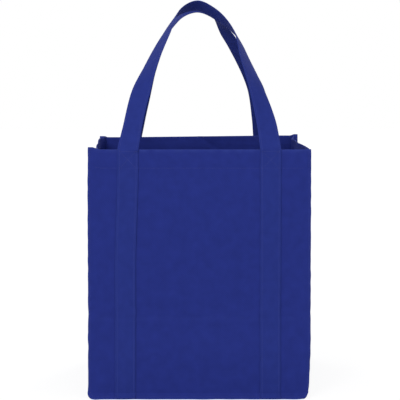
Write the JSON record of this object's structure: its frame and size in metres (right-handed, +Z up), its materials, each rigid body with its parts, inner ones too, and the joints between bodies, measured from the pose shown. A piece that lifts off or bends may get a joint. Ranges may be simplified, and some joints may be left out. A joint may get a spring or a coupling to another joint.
{
  "type": "non-woven tote bag",
  "caption": "Upright open-topped tote bag of non-woven cloth with side gussets, seam fins, a hemmed rim, a loose base board and strap handles that run down the panels to the base.",
  "frame": {"origin": "centre of the bag's footprint, on the surface it stands on", "axes": "+Z up through the open top, -Y out of the front panel, +X to the right when the front is faced"},
  "size_m": [0.338, 0.2686, 0.6044],
  "materials": {
    "cloth": "matt spunbond non-woven polypropylene, royal blue",
    "strap": "matt spunbond non-woven polypropylene folded to a strap, royal blue",
    "board": "matt polypropylene sheet"
  },
  "bodies": {
    "root": {"front_panel": "cloth", "back_panel": "cloth", "gusset_strip": "cloth", "front_handle": "strap", "back_handle": "strap", "base_board": "board"}
  },
  "joints": []
}
